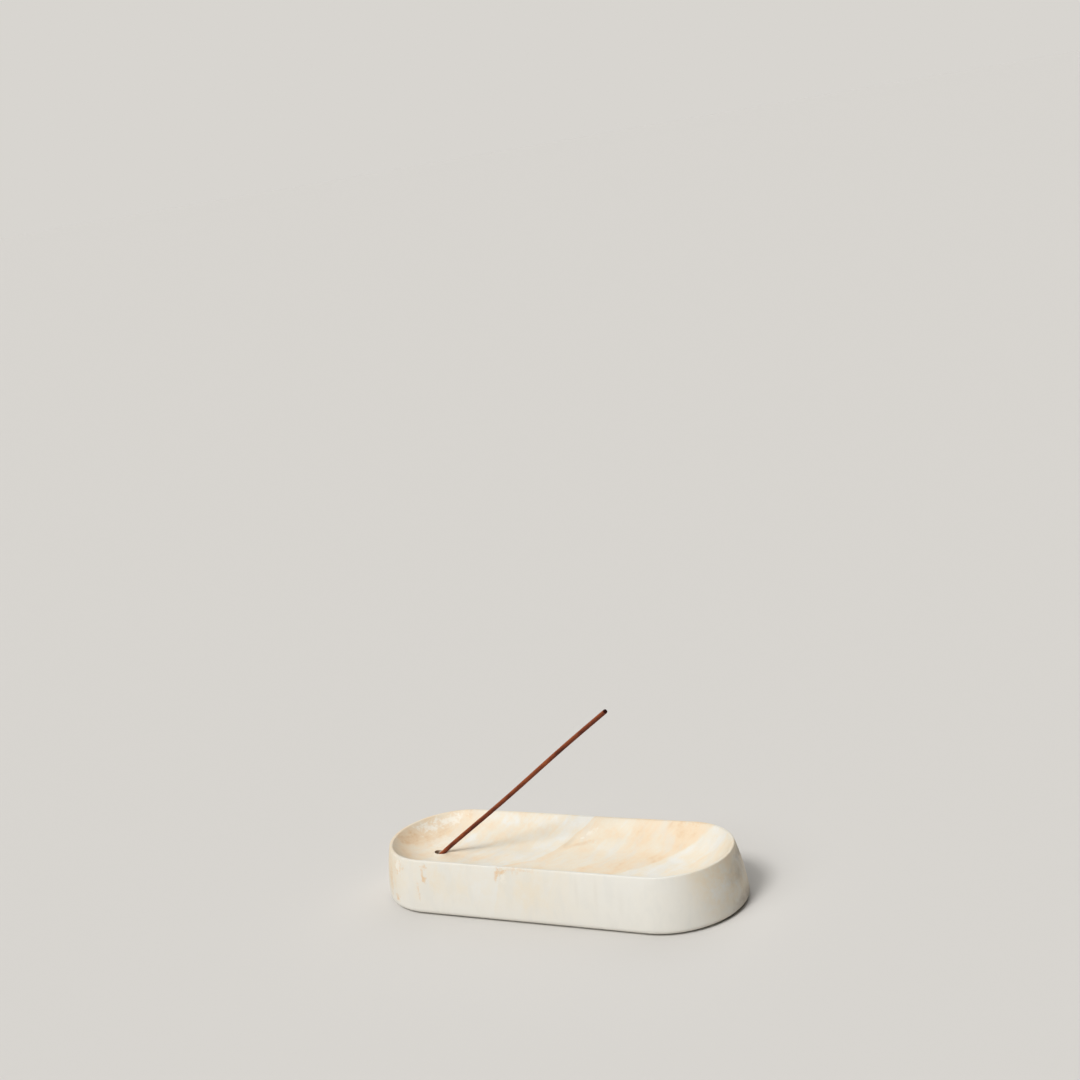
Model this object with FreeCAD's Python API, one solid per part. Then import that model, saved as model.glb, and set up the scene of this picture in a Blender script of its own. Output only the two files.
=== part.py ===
import FreeCAD, Part

import math
import os

# Incense burner: a one-piece cast tray with a long ash dish, a slanted socket near one end
# and a stick of incense that stands in the socket and leans out over the dish.
# Millimetres. +X runs along the tray from the socket end, +Z is up, and the origin is the
# middle of the footprint, on the surface that the feet stand on.

# Tray, outside
TRAY_LENGTH = 170.0         # at the foot of the walls
TRAY_WIDTH = 61.0
TRAY_HEIGHT = 23.5
END_DRAFT = 3.3             # how far the rim stands in from the foot at each end
SIDE_DRAFT = 3.5            # and along each side
WALL_CROWN = 0.8            # outward bulge of the walls at half height
BASE_ROUND = 2.0            # rounding where the walls meet the underside
RIM_OUTER_ROUND = 0.6
RIM_INNER_ROUND = 0.9

# Ash dish
RIM_WIDTH = 1.3             # from the outside of the rim to the start of the dish
DISH_DEPTH = 9.1
DISH_FLOOR_WIDTH = 12.0     # flat strip along the middle of the dish

# Stick of incense
STICK_LENGTH = 132.0        # with its charred end
STICK_DIAMETER = 2.0
STICK_END_ROUND = 0.2
CHAR_LENGTH = 0.8           # burnt part at the free end
CHAR_SHRINK = 0.04          # how far the char lies inside the stick's own surface
CHAR_END_ROUND = 0.3

# Socket
SOCKET_FROM_END = 24.1      # from the foot of the end wall to the middle of the mouth
SOCKET_ANGLE = 36.1         # lean of the stick above the horizontal, in degrees
SOCKET_DEPTH = 12.5         # along the axis, from the floor of the dish
SOCKET_PLAY = 2.0           # socket diameter over stick diameter
SOCKET_MOUTH_ROUND = 0.3
STICK_SIDE_GAP = 0.2        # between the stick and the low side of the socket
STICK_END_GAP = 0.1         # between the stick and the bottom of the socket

# Feet
FOOT_DIAMETER = 9.0
FOOT_THICKNESS = 1.6
FOOT_STAND = 0.7            # how far a foot stands out below the tray
FOOT_EDGE_ROUND = 0.4
FOOT_PLAY = 0.2             # recess diameter over foot diameter
FOOT_FROM_END = 33.0        # from the foot of the end wall to the middle of a foot
FOOT_FROM_SIDE = 16.0       # from the foot of the side wall to the middle of a foot

# Worked out from the sizes above
UNDERSIDE_Z = FOOT_STAND
TOP_Z = UNDERSIDE_Z + TRAY_HEIGHT
FLOOR_Z = TOP_Z - DISH_DEPTH
RIM_HALF_LENGTH = TRAY_LENGTH / 2 - END_DRAFT
RIM_HALF_WIDTH = TRAY_WIDTH / 2 - SIDE_DRAFT
RIM_CENTRE_X = RIM_HALF_LENGTH - RIM_HALF_WIDTH     # centre of the half-round end of the rim
DISH_RADIUS = RIM_HALF_WIDTH - RIM_WIDTH

SOCKET_RADIUS = (STICK_DIAMETER + SOCKET_PLAY) / 2
LEAN = math.radians(SOCKET_ANGLE)
STICK_AXIS = FreeCAD.Vector(math.cos(LEAN), 0, math.sin(LEAN))
LOW_SIDE = FreeCAD.Vector(math.sin(LEAN), 0, -math.cos(LEAN))
SOCKET_MOUTH = FreeCAD.Vector(SOCKET_FROM_END - TRAY_LENGTH / 2, 0, FLOOR_Z)
SOCKET_BOTTOM = SOCKET_MOUTH - STICK_AXIS * SOCKET_DEPTH
STICK_OFFSET = SOCKET_RADIUS - STICK_DIAMETER / 2 - STICK_SIDE_GAP
STICK_START = SOCKET_BOTTOM + LOW_SIDE * STICK_OFFSET + STICK_AXIS * STICK_END_GAP

UP = FreeCAD.Vector(0, 0, 1)
ROUND_TOLERANCE = 1e-4


def stadium(half_length, half_width, height):
    """A flat closed wire of two straight sides and two half-round ends."""
    end_x = half_length - half_width

    def at(x, y):
        return FreeCAD.Vector(x, y, height)

    front = Part.LineSegment(at(-end_x, -half_width), at(end_x, -half_width))
    right = Part.Arc(at(end_x, -half_width), at(half_length, 0), at(end_x, half_width))
    back = Part.LineSegment(at(end_x, half_width), at(-end_x, half_width))
    left = Part.Arc(at(-end_x, half_width), at(-half_length, 0), at(-end_x, -half_width))
    return Part.Wire([side.toShape() for side in (front, right, back, left)])


def wall_outline(share):
    """The outside of the walls at a share of their height, 0 at the foot and 1 at the rim."""
    bulge = 4 * share * (1 - share) * WALL_CROWN
    half_length = TRAY_LENGTH / 2 - share * END_DRAFT + bulge
    half_width = TRAY_WIDTH / 2 - share * SIDE_DRAFT + bulge
    return stadium(half_length, half_width, UNDERSIDE_Z + share * TRAY_HEIGHT)


def edges_at_height(shape, height):
    """The edges of a shape that lie wholly in one level plane."""
    return [
        edge
        for edge in shape.Edges
        if abs(edge.BoundBox.ZMin - height) < ROUND_TOLERANCE
        and abs(edge.BoundBox.ZMax - height) < ROUND_TOLERANCE
    ]


def dish_half_section():
    """Half of the dish's cross-section: the axis, the flat floor, one hollow arc and the top."""
    floor_half = DISH_FLOOR_WIDTH / 2
    span = DISH_RADIUS - floor_half
    arc_radius = (span ** 2 + DISH_DEPTH ** 2) / (2 * DISH_DEPTH)
    half_turn = math.asin(span / arc_radius) / 2
    middle = FreeCAD.Vector(
        floor_half + arc_radius * math.sin(half_turn),
        0,
        FLOOR_Z + arc_radius * (1 - math.cos(half_turn)),
    )
    clear_z = TOP_Z + DISH_DEPTH
    axis_top = FreeCAD.Vector(0, 0, clear_z)
    axis_floor = FreeCAD.Vector(0, 0, FLOOR_Z)
    floor_edge = FreeCAD.Vector(floor_half, 0, FLOOR_Z)
    rim = FreeCAD.Vector(DISH_RADIUS, 0, TOP_Z)
    rim_top = FreeCAD.Vector(DISH_RADIUS, 0, clear_z)
    edges = [
        Part.LineSegment(axis_top, axis_floor),
        Part.LineSegment(axis_floor, floor_edge),
        Part.Arc(floor_edge, middle, rim),
        Part.LineSegment(rim, rim_top),
        Part.LineSegment(rim_top, axis_top),
    ]
    return Part.Face(Part.Wire([edge.toShape() for edge in edges]))


def dish_space():
    """The solid that the ash dish is cut with: a trough with two half-round ends."""
    origin = FreeCAD.Vector(0, 0, 0)
    run = FreeCAD.Vector(2 * RIM_CENTRE_X, 0, 0)
    pieces = []
    for side in (-1, 1):
        across = dish_half_section()
        across.rotate(origin, UP, side * 90)
        across.translate(FreeCAD.Vector(-RIM_CENTRE_X, 0, 0))
        pieces.append(across.extrude(run))
    for side in (-1, 1):
        centre = FreeCAD.Vector(side * RIM_CENTRE_X, 0, 0)
        start = dish_half_section()
        start.rotate(origin, UP, -90 * side)
        start.translate(centre)
        pieces.append(start.revolve(centre, UP, 180))
    return pieces[0].fuse(pieces[1:]).removeSplitter()


def socket_space():
    """The slanted round hole that the stick stands in."""
    length = SOCKET_DEPTH + DISH_DEPTH
    return Part.makeCylinder(SOCKET_RADIUS, length, SOCKET_BOTTOM, STICK_AXIS)


def mouth_edges(shape):
    """The edges where the socket opens into the floor of the dish."""
    mouth_half_length = SOCKET_RADIUS / math.sin(LEAN)
    reach = 1.5 * mouth_half_length
    low = FLOOR_Z - ROUND_TOLERANCE
    return [
        edge
        for edge in shape.Edges
        if all((vertex.Point - SOCKET_MOUTH).Length < reach for vertex in edge.Vertexes)
        and edge.BoundBox.ZMin > low
    ]


def foot_places():
    """Name and place of each foot, on the plane that the feet stand on."""
    x = TRAY_LENGTH / 2 - FOOT_FROM_END
    y = TRAY_WIDTH / 2 - FOOT_FROM_SIDE
    return {
        "foot_front_left": FreeCAD.Vector(-x, -y, 0),
        "foot_front_right": FreeCAD.Vector(x, -y, 0),
        "foot_rear_left": FreeCAD.Vector(-x, y, 0),
        "foot_rear_right": FreeCAD.Vector(x, y, 0),
    }


def dish_edges(shape):
    """The edges where the dish starts, which lie inside the middle of the rim."""
    within = DISH_RADIUS + RIM_WIDTH / 4
    return [
        edge
        for edge in edges_at_height(shape, TOP_Z)
        if max(edge.BoundBox.YMax, -edge.BoundBox.YMin) < within
        and max(edge.BoundBox.XMax, -edge.BoundBox.XMin) < RIM_CENTRE_X + within
    ]


def tray_body():
    """The cast tray: walls, rounded rim, ash dish, socket and the recesses for the feet."""
    body = Part.makeLoft([wall_outline(0), wall_outline(0.5), wall_outline(1)], True, False)
    body = body.makeFillet(BASE_ROUND, edges_at_height(body, UNDERSIDE_Z))
    body = body.makeFillet(RIM_OUTER_ROUND, edges_at_height(body, TOP_Z))
    body = body.cut(dish_space())
    body = body.makeFillet(RIM_INNER_ROUND, dish_edges(body))
    body = body.cut(socket_space())
    body = body.makeFillet(SOCKET_MOUTH_ROUND, mouth_edges(body))
    recess_radius = (FOOT_DIAMETER + FOOT_PLAY) / 2
    for place in foot_places().values():
        body = body.cut(Part.makeCylinder(recess_radius, FOOT_THICKNESS, place, UP))
    return body


def foot(place):
    """One anti-slip foot: a flat round pad with a rounded lower edge."""
    pad = Part.makeCylinder(FOOT_DIAMETER / 2, FOOT_THICKNESS, place, UP)
    return pad.makeFillet(FOOT_EDGE_ROUND, edges_at_height(pad, 0))


def rod(start, diameter, length, rounded_z, end_round):
    """A round rod along the stick's axis, with the end nearest one height rounded over."""
    shape = Part.makeCylinder(diameter / 2, length, start, STICK_AXIS)
    rings = [edge for edge in shape.Edges if edge.Closed]
    ring = min(rings, key=lambda edge: abs(edge.CenterOfMass.z - rounded_z))
    return shape.makeFillet(end_round, [ring])


def incense_stick():
    """The pressed incense paste, from the bottom of the socket to the char."""
    length = STICK_LENGTH - CHAR_LENGTH
    return rod(STICK_START, STICK_DIAMETER, length, STICK_START.z, STICK_END_ROUND)


def charred_tip():
    """The burnt free end of the stick."""
    start = STICK_START + STICK_AXIS * (STICK_LENGTH - CHAR_LENGTH)
    end = STICK_START + STICK_AXIS * STICK_LENGTH
    diameter = STICK_DIAMETER - 2 * CHAR_SHRINK
    return rod(start, diameter, CHAR_LENGTH, end.z, CHAR_END_ROUND)


def write(name, shape):
    """Write one sub-part to its own STEP file."""
    shape.exportStep(os.path.join("parts", name + ".step"))
    box = shape.BoundBox
    print(
        f"{name}: valid {shape.isValid()}, {len(shape.Solids)} solid, {shape.Volume:.2f} mm3,"
        f" x {box.XMin:.2f} to {box.XMax:.2f}, y {box.YMin:.2f} to {box.YMax:.2f},"
        f" z {box.ZMin:.2f} to {box.ZMax:.2f}"
    )


def main():
    """Build every sub-part and write it out."""
    os.makedirs("parts", exist_ok=True)
    write("tray_body", tray_body())
    write("incense_stick", incense_stick())
    write("charred_tip", charred_tip())
    for name, place in foot_places().items():
        write(name, foot(place))


main()
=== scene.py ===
"""Looks of an incense burner: a marbled cast tray, and a stick of incense in its slanted socket.

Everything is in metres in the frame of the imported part: +X along the tray from the socket end, +Z up.
"""

import logging
import math
from collections.abc import Sequence
from dataclasses import dataclass, field
from enum import Enum

import bpy
from mathutils import Matrix, Vector, geometry, noise


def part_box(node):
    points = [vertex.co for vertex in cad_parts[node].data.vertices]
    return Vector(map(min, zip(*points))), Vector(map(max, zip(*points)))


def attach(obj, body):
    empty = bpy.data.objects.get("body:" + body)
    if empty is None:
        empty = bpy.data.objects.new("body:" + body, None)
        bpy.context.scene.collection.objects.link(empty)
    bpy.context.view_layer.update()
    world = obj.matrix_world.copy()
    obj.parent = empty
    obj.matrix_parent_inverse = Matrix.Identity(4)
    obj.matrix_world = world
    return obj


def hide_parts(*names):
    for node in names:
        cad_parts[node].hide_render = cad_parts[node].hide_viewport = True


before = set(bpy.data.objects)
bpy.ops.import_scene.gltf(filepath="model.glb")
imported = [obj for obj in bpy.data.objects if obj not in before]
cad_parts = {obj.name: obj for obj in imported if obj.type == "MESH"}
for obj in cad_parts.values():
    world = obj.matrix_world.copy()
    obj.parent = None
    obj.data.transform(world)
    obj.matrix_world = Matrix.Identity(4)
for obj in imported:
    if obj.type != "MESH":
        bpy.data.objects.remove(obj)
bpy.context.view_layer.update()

Material = bpy.types.Material
Node = bpy.types.Node
Object = bpy.types.Object
Output = bpy.types.NodeSocket
Tree = bpy.types.NodeTree

LOG = logging.getLogger("incense_burner")
MM = 0.001
UNEVEN_SEED = 7                         # any number but 0, which would take the time of day


# ---- Colours, nodes and meshes ----


def linear(hex_colour: str) -> tuple[float, float, float, float]:
    """Turn an sRGB hex colour into linear red, green, blue and a full alpha.

    Args:
        hex_colour: six hex digits, such as "f3eee2".

    Returns:
        The linear colour, as shader sockets take it.
    """
    channels = [int(hex_colour[i:i + 2], 16) / 255 for i in (0, 2, 4)]
    red, green, blue = (c / 12.92 if c <= 0.04045 else ((c + 0.055) / 1.055) ** 2.4 for c in channels)
    return red, green, blue, 1.0


def set_inputs(tree: Tree, node: Node, inputs: dict[str | int, object]) -> None:
    """Give a node its fixed inputs and its links.

    Args:
        tree: the node tree that the node is in.
        node: the node.
        inputs: input name or number to a value, or to the output socket that feeds it.
    """
    for name, value in inputs.items():
        socket = node.inputs[name]
        if isinstance(value, Output):
            tree.links.new(value, socket)
        else:
            socket.default_value = value


def add_node(
    tree: Tree,
    kind: str,
    inputs: dict[str | int, object] | None = None,
    **settings: object,
) -> Node:
    """Add one node with its settings, its fixed inputs and its links.

    Args:
        tree: the node tree that the node joins.
        kind: the node's type, without the "ShaderNode" in front.
        inputs: as set_inputs takes them.
        settings: attributes of the node, such as operation="ADD".

    Returns:
        The new node.
    """
    made = tree.nodes.new("ShaderNode" + kind)
    for name, value in settings.items():
        setattr(made, name, value)
    set_inputs(tree, made, inputs or {})
    return made


def new_material(name: str) -> tuple[Material, Tree, Node]:
    """Start a material.

    Args:
        name: what it is made of, and how its surface was made.

    Returns:
        The material, its nodes and its shader.
    """
    made = bpy.data.materials.new(name)
    made.use_nodes = True
    return made, made.node_tree, made.node_tree.nodes["Principled BSDF"]


def add_object(name: str, data: bpy.types.ID) -> Object:
    """Make an object and link it to the scene."""
    made = bpy.data.objects.new(name, data)
    bpy.context.scene.collection.objects.link(made)
    return made


def set_ramp(node: Node, stops: Sequence[tuple[float, object]]) -> None:
    """Give a colour ramp its stops.

    Args:
        node: the colour ramp node.
        stops: position from 0 to 1, and a grey level or a linear colour, in order.
    """
    elements = node.color_ramp.elements
    while len(elements) > 1:
        elements.remove(elements[-1])
    for number, (position, value) in enumerate(stops):
        element = elements[0] if number == 0 else elements.new(position)
        element.position = position
        element.color = value if isinstance(value, tuple) else (value, value, value, 1.0)


def millimetres(tree: Tree) -> Output:
    """The point on the piece, in millimetres."""
    coordinates = add_node(tree, "TexCoord")
    scaled = add_node(
        tree, "VectorMath", {0: coordinates.outputs["Object"], "Scale": 1 / MM}, operation="SCALE"
    )
    return scaled.outputs[0]


class MeshDraft:
    """The points and faces of one piece, gathered ring by ring."""

    def __init__(self) -> None:
        """Start with nothing."""
        self.points: list[Vector] = []
        self.faces: list[tuple[int, ...]] = []

    def ring(self, points: Sequence[Vector]) -> list[int]:
        """Add points and return their numbers."""
        first = len(self.points)
        self.points.extend(points)
        return list(range(first, len(self.points)))

    def bridge(self, near: Sequence[int], far: Sequence[int]) -> None:
        """Join two closed rings of as many points with four-sided faces.

        Args:
            near: the ring that is anticlockwise when seen from outside with far above it.
            far: the next ring.
        """
        count = len(near)
        for i in range(count):
            j = (i + 1) % count
            self.faces.append((near[i], near[j], far[j], far[i]))

    def close(self, ring: Sequence[int], centre: Vector) -> None:
        """Close a ring with a fan of triangles round one centre point."""
        middle = self.ring([centre])[0]
        for i, number in enumerate(ring):
            self.faces.append((number, ring[(i + 1) % len(ring)], middle))

    def fill(
        self,
        outer: Sequence[int],
        holes: Sequence[Sequence[int]],
        inside: Sequence[Vector],
        facing_up: bool,
    ) -> None:
        """Fill a level or gently hollow region with triangles, seen from above.

        Args:
            outer: the ring round the region.
            holes: rings that stay open.
            inside: more points of the surface to run through.
            facing_up: which way the faces look.
        """
        numbers = [n for ring in (outer, *holes) for n in ring] + self.ring(inside)
        plan = [self.points[n].to_2d() / MM for n in numbers]
        edges, start = [], 0
        for ring in (outer, *holes):
            count = len(ring)
            edges += [(start + i, start + (i + 1) % count) for i in range(count)]
            start += count
        found = geometry.delaunay_2d_cdt(plan, edges, [], 0, 1e-6, True)
        source = [numbers[originals[0]] for originals in found[3]]
        ranks = [{number: rank for rank, number in enumerate(ring)} for ring in (outer, *holes)]
        for triangle in found[2]:
            corners = tuple(source[i] for i in triangle)
            turns = [self._turn(corners, rank) for rank in ranks]
            if turns[0] < 0 or any(turn > 0 for turn in turns[1:]):     # past the rim, or inside a hole
                continue
            self.faces.append(corners if facing_up else corners[::-1])

    @staticmethod
    def _turn(corners: Sequence[int], rank: dict[int, int]) -> int:
        """Which way a triangle's corners follow a ring.

        Args:
            corners: the corners, anticlockwise from above.
            rank: each of the ring's numbers to its place, anticlockwise from above.

        Returns:
            1 along the ring, -1 against it, and 0 where they aren't all on it.
        """
        places = [rank.get(corner) for corner in corners]
        if None in places:
            return 0
        first, second, third = places
        return 1 if (second - first) % len(rank) < (third - first) % len(rank) else -1

    def to_object(self, name: str, sharp_degrees: float) -> Object:
        """Make the Blender object, smooth but for its sharp edges.

        Args:
            name: the piece's name.
            sharp_degrees: an edge that turns by more than this stays crisp.

        Returns:
            The object, linked to the scene.
        """
        mesh = bpy.data.meshes.new(name)
        mesh.from_pydata([tuple(p) for p in self.points], [], self.faces)
        mesh.validate()
        mesh.shade_smooth()
        mesh.set_sharp_from_angle(angle=math.radians(sharp_degrees))
        return add_object(name, mesh)


def spread(start: float, end: float, steps: int) -> list[float]:
    """Evenly spaced values from start to end, both included."""
    return [start + (end - start) * i / steps for i in range(steps + 1)]


def circle_points(centre: Vector, radius: float, sides: int) -> list[Vector]:
    """A level circle of points, anticlockwise from above."""
    turns = [2 * math.pi * i / sides for i in range(sides)]
    return [centre + Vector((radius * math.cos(t), radius * math.sin(t), 0)) for t in turns]


def smooth_step(value: float, low: float, high: float) -> float:
    """Rise smoothly from 0 at low to 1 at high."""
    share = min(max((value - low) / (high - low), 0.0), 1.0)
    return share * share * (3 - 2 * share)


# ---- Finishes ----


@dataclass(frozen=True)
class Seam:
    """A line across the tray where one batch meets the next, in millimetres.

    The peach that it adds lies on its +X side, and is less than nothing where the paler batch begins.
    """

    at: float                           # along X, on the tray's middle line
    lean: float                         # and for each step towards the back
    curl: float                         # and for that step's square
    sweep: float                        # and at the most in the front half of the dish
    peach: float
    soft: float                         # how wide the seam is
    fade: float = 0.0                   # over which the added peach is gone again, if it is not to stay


@dataclass(frozen=True)
class Spot:
    """A torn-edged spot in the casting: its middle and half-sizes, in millimetres, and its strength."""

    place: tuple[float, float, float]
    reach: tuple[float, float, float]
    strength: float
    turn_degrees: float = 0.0           # about +Z


@dataclass(frozen=True)
class TornEdge:
    """How ragged the edges of one kind of spot are."""

    torn_mm: float                      # size of the tears
    tear: float                         # how deep they go, as a share of the spot's half-size
    core: float = 0.0                   # how far out the spot keeps its full strength, likewise


@dataclass(frozen=True)
class Thinning:
    """A stretch over which the peach thins out, from all of it to the least, in millimetres."""

    axis: str
    thin_at: float
    full_at: float
    least: float


@dataclass(frozen=True)
class MarbledCast:
    """Cast mineral plaster, pale and peach batches folded together in the mould, sanded and sealed matt.

    The fold shows as bands that sweep across the dish and run on down the walls, soft on one side and
    crisp on the other, where one batch was poured against the next. The matt seal gives a broad, faint
    sheen and no mirror image.
    """

    name: str = "mineral_plaster_marbled_cast_and_sealed"
    white: str = "e6e3da"
    cream: str = "e7dcc7"
    peach: str = "e8d2b3"
    tan: str = "dab486"
    cloud: str = "f1ebde"
    veil: str = "dddbd3"
    ochre: str = "e0b882"
    # grey-brown: the casting's veins, and painted shade on the far end wall
    taupe_and_painted_shade: str = "a39581"
    roughness: float = 0.5
    smoother: float = 0.06              # how far the seal's patches stray from that roughness
    rougher: float = 0.08
    seal_patch_mm: float = 9.0
    ior: float = 1.5
    wall_lean: float = 0.3              # how far a seam moves along -X for each step down the walls
    seam_height_mm: float = 24.0        # where the seams' places are given, near the rim
    lean_from_mm: float = -9.0          # along Y; in front of this a seam runs straight across
    sweep_in_mm: tuple[float, float] = (0.0, -10.0)         # along Y, where a seam's sweep sets in
    sweep_out_mm: tuple[float, float] = (-12.0, -26.0)      # and where it is gone again
    fold_mm: float = 16.0               # size of the folds of the pour
    fold_reach_mm: float = 4.0
    ripple_mm: float = 4.5
    ripple_reach_mm: float = 1.4
    streak_width_mm: float = 2.2        # fine flow lines along the seams
    streak_length_mm: float = 26.0
    streak_lean: float = 0.45
    streak_swing: float = 0.10          # how much peach the flow lines add or take
    cloud_mm: float = 9.0               # pale clouds in the peach
    cloud_swing: float = 0.27
    veil_mm: tuple[float, float, float] = (6.0, 16.0, 14.0)     # the grey-white veil is drawn out in streaks
    veil_range: tuple[float, float] = (0.47, 0.66)              # of its noise, from none to the most
    veil_most: float = 0.34
    grain_mm: float = 0.55              # plaster grain is about 0.1 mm; drawn coarser so that it shows
    pinhole_spacing_mm: float = 4.2
    pinhole_range: tuple[float, float] = (0.03, 0.09)           # of that spacing, from its floor to its edge
    relief_mm: float = 0.06
    relief_strength: float = 0.35
    thinnings: tuple[Thinning, ...] = (
        Thinning("Z", 0.0, 13.0, 0.16),
        Thinning("Y", -26.0, -14.0, 0.33),
    )
    front_thinning: Thinning = Thinning("X", 30.0, 6.0, 0.2)    # on the front wall only
    front_wall_mm: tuple[float, float] = (-18.0, -26.0)         # along Y, where that wall begins
    patch_edge: TornEdge = TornEdge(3.5, 3.2)
    shade_edge: TornEdge = TornEdge(4.0, 1.0)
    fleck_edge: TornEdge = TornEdge(1.6, 3.6, 0.08)
    cloud_edge: TornEdge = TornEdge(2.4, 4.2, 0.2)
    spot_reach: float = 1.15            # where a spot ends, as a share of its half-size
    end_peach: float = 0.54             # how much peach shows at the socket end, before any seam
    seams: tuple[Seam, ...] = (
        Seam(-60.0, 0.25, 0.000, 0.0, -0.22, 15.0),
        Seam(-21.0, 0.38, 0.006, -9.0, -0.17, 9.0),
        Seam(-8.3, 0.38, 0.006, -10.0, 0.20, 0.9),
        Seam(-8.3, 0.38, 0.006, -10.0, 0.20, 0.9, 7.0),
        Seam(20.1, 0.55, -0.012, -3.0, 0.15, 1.8),
        Seam(36.5, 0.74, 0.004, -3.0, 0.05, 6.0),
        Seam(43.7, 0.74, 0.004, -3.0, -0.40, 2.6),
        Seam(60.0, 0.55, 0.015, 0.0, 0.17, 1.0),
    )
    patches: tuple[Spot, ...] = (       # more of the peach batch, or less where it is below nothing
        Spot((-77.0, -1.0, 17.5), (4.4, 8.0, 8.0), 0.24),
        Spot((-69.0, 13.0, 17.5), (10.0, 3.4, 8.0), 0.08, 48.0),
        Spot((-58.0, 24.0, 21.5), (8.0, 2.4, 5.0), 0.24, 10.0),
        Spot((-64.5, 6.0, 15.0), (4.0, 8.0, 4.0), -0.28, -15.0),
        Spot((-53.0, 14.0, 15.5), (4.5, 4.0, 4.0), -0.28),
        Spot((-38.0, 15.0, 16.5), (8.0, 4.0, 5.0), 0.18, 30.0),
        Spot((-40.0, -3.0, 14.4), (12.0, 3.2, 5.0), 0.16),
        Spot((-22.0, 23.5, 21.5), (26.0, 3.4, 5.0), -0.22),
        Spot((3.5, 14.2, 17.0), (9.0, 1.6, 4.0), 0.28, 20.0),
        Spot((13.0, 18.5, 18.0), (7.0, 4.5, 5.0), 0.16, 30.0),
        Spot((-45.0, -29.0, 17.0), (4.5, 4.0, 7.0), 0.36),
        Spot((1.0, -29.0, 15.0), (11.0, 4.0, 11.0), 0.26),
        Spot((-24.0, -29.0, 12.0), (8.0, 4.0, 8.0), -0.20),
        Spot((-60.0, -28.5, 14.0), (4.0, 4.0, 8.0), -0.22),
        Spot((-72.0, -24.0, 15.0), (4.5, 5.0, 9.0), 0.34),
        Spot((-82.0, -11.0, 12.0), (4.5, 8.0, 12.0), 0.34),
        Spot((83.0, -12.0, 14.0), (9.0, 14.0, 10.0), -0.24),
    )
    flecks: tuple[Spot, ...] = (        # ochre, deepest where it is thickest
        Spot((-51.2, -28.6, 16.4), (1.5, 3.0, 1.9), 0.62),
        Spot((-51.2, -28.0, 21.6), (1.9, 3.0, 1.5), 0.50),
        Spot((-52.0, -28.8, 19.0), (0.8, 3.0, 3.4), 0.40),
        Spot((-54.6, -29.4, 10.5), (0.8, 3.0, 4.2), 0.40),
        Spot((-12.0, -27.6, 22.3), (2.8, 3.0, 1.7), 0.66),
        Spot((-14.4, -28.0, 19.6), (1.1, 3.0, 2.6), 0.52),
        Spot((-68.5, -26.2, 5.4), (2.2, 3.0, 2.2), 0.62),
        Spot((-67.0, -26.4, 19.8), (3.6, 3.0, 4.2), 0.46),
        Spot((-73.5, -23.0, 12.5), (2.6, 3.0, 8.0), 0.36),
        Spot((-83.0, -10.0, 9.0), (2.6, 5.0, 8.0), 0.40),
        Spot((25.0, 27.2, 23.4), (24.0, 1.6, 2.0), 0.16),
        Spot((57.0, 26.2, 23.2), (9.0, 1.8, 2.2), 0.34),
        Spot((-4.0, -26.8, 23.4), (9.0, 1.4, 1.4), 0.32),
    )
    clouds: tuple[Spot, ...] = (        # thin white, over the ochre
        Spot((-66.8, -26.6, 20.4), (2.5, 3.0, 2.9), 0.80),
        Spot((-10.6, -28.0, 19.8), (1.9, 3.0, 1.9), 0.50),
        Spot((-74.5, 11.0, 18.5), (7.0, 2.8, 6.0), 0.80, 52.0),
        Spot((-67.5, 19.3, 20.0), (9.0, 2.6, 6.0), 0.80, 38.0),
        Spot((-66.0, 8.0, 16.0), (6.0, 3.6, 5.0), 0.30, 60.0),
        Spot((5.6, 19.8, 19.0), (4.0, 1.1, 3.0), 0.60, 40.0),
        Spot((-80.0, -9.0, 21.0), (2.0, 5.0, 4.0), 0.40),
    )
    veins_and_painted_shade: tuple[Spot, ...] = (        # grey-brown veins, streaks and a line on the back rim; on the far end wall mottling and painted shade
        # The far end wall: grey-brown mottling and painted shade, at the top of the wall and along its lower
        # edge
        Spot((82.5, 12.5, 20.4), (5.5, 9.0, 3.6), 0.95),
        Spot((87.0, 6.0, 16.0), (6.5, 19.0, 7.0), 0.60),
        Spot((85.5, 9.0, 1.5), (6.5, 22.0, 7.0), 0.85),
        Spot((-2.5, 15.0, 17.0), (9.0, 2.2, 5.0), 0.20, 62.0),
        Spot((4.0, 14.4, 17.0), (9.0, 1.6, 4.0), 0.12, 22.0),
        Spot((25.0, 27.4, 23.4), (26.0, 1.6, 2.0), 0.10),
        Spot((24.5, -28.6, 17.0), (1.6, 3.0, 10.0), 0.08),
        Spot((33.5, -28.6, 15.0), (1.4, 3.0, 11.0), 0.07),
        Spot((45.0, -28.6, 13.0), (2.4, 3.0, 9.0), 0.06),
    )

    def material(self) -> Material:
        """Make the material.

        Returns:
            The marbled casting's material.
        """
        made, tree, shader = new_material(self.name)
        place = millimetres(tree)
        folded = self._folded(tree, place)
        amount = self._peach_amount(tree, place, folded)
        set_inputs(tree, shader, {
            "Base Color": self._spotted(tree, place, self._batches(tree, amount, folded)),
            "Normal": self._relief(tree, place),
            "Roughness": self._sheen(tree, place),
            "IOR": self.ior,
        })
        return made

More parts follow.
